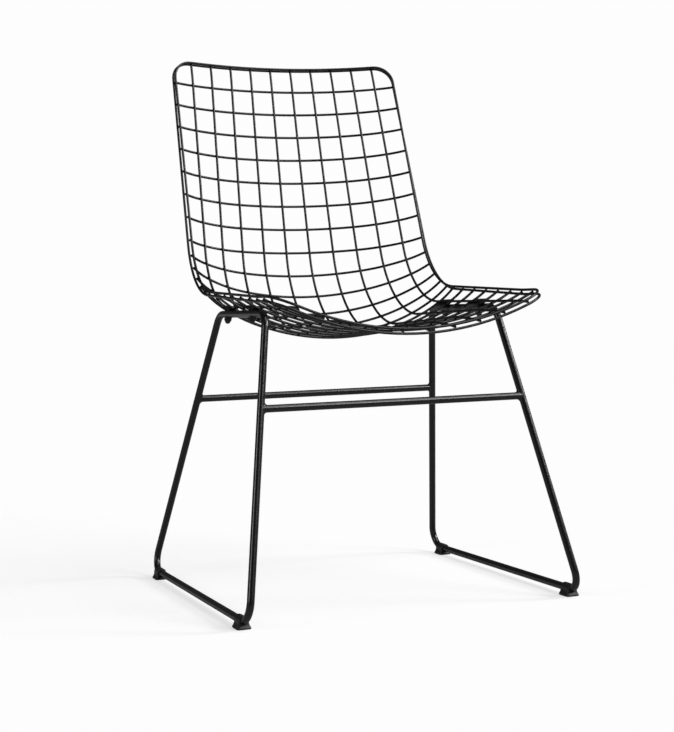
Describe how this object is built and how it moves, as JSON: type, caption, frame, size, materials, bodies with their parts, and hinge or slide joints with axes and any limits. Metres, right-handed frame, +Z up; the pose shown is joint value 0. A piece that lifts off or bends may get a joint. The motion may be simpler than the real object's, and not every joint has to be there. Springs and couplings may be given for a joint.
{
  "type": "wire mesh chair",
  "caption": "Dining chair with a one-piece seat and back shell of welded wire mesh, bolted to two splayed side frames of round bar joined by stretchers.",
  "frame": {"origin": "on the floor, under the middle of the chair", "axes": "+Z up, the sitter faces -Y, +X is to the sitter's left; the chair is symmetrical in the plane x = 0"},
  "size_m": [0.539, 0.5464, 0.8632],
  "materials": {
    "mesh_wire": "black satin powder coat",
    "frame_bar": "black satin powder coat",
    "seat_mount": "black satin powder coat",
    "fixing": "black coated steel, semi-gloss",
    "glide": "black moulded plastic, matt"
  },
  "bodies": {
    "root": {"rim_wire_inner": "mesh_wire", "rim_wire_outer": "mesh_wire", "long_wire_01": "mesh_wire", "long_wire_02": "mesh_wire", "long_wire_03": "mesh_wire", "long_wire_04": "mesh_wire", "long_wire_05": "mesh_wire", "long_wire_06": "mesh_wire", "long_wire_07": "mesh_wire", "long_wire_08": "mesh_wire", "long_wire_09": "mesh_wire", "long_wire_10": "mesh_wire", "cross_wire_01": "mesh_wire", "cross_wire_02": "mesh_wire", "cross_wire_03": "mesh_wire", "cross_wire_04": "mesh_wire", "cross_wire_05": "mesh_wire", "cross_wire_06": "mesh_wire", "cross_wire_07": "mesh_wire", "cross_wire_08": "mesh_wire", "cross_wire_09": "mesh_wire", "cross_wire_10": "mesh_wire", "cross_wire_11": "mesh_wire", "cross_wire_12": "mesh_wire", "cross_wire_13": "mesh_wire", "cross_wire_14": "mesh_wire", "cross_wire_15": "mesh_wire", "cross_wire_16": "mesh_wire", "cross_wire_17": "mesh_wire", "cross_wire_18": "mesh_wire", "cross_wire_19": "mesh_wire", "cross_wire_20": "mesh_wire", "cross_wire_21": "mesh_wire", "side_frame_left": "frame_bar", "side_frame_right": "frame_bar", "stretcher_front": "frame_bar", "stretcher_rear": "frame_bar", "seat_mount_rear_left": "seat_mount", "seat_mount_rear_right": "seat_mount", "seat_mount_front_left": "seat_mount", "seat_mount_front_right": "seat_mount", "washer_rear_left": "fixing", "washer_rear_right": "fixing", "washer_front_left": "fixing", "washer_front_right": "fixing", "cap_nut_rear_left": "fixing", "cap_nut_rear_right": "fixing", "cap_nut_front_left": "fixing", "cap_nut_front_right": "fixing", "foot_rear_left": "glide", "foot_rear_right": "glide", "foot_front_left": "glide", "foot_front_right": "glide"}
  },
  "joints": []
}
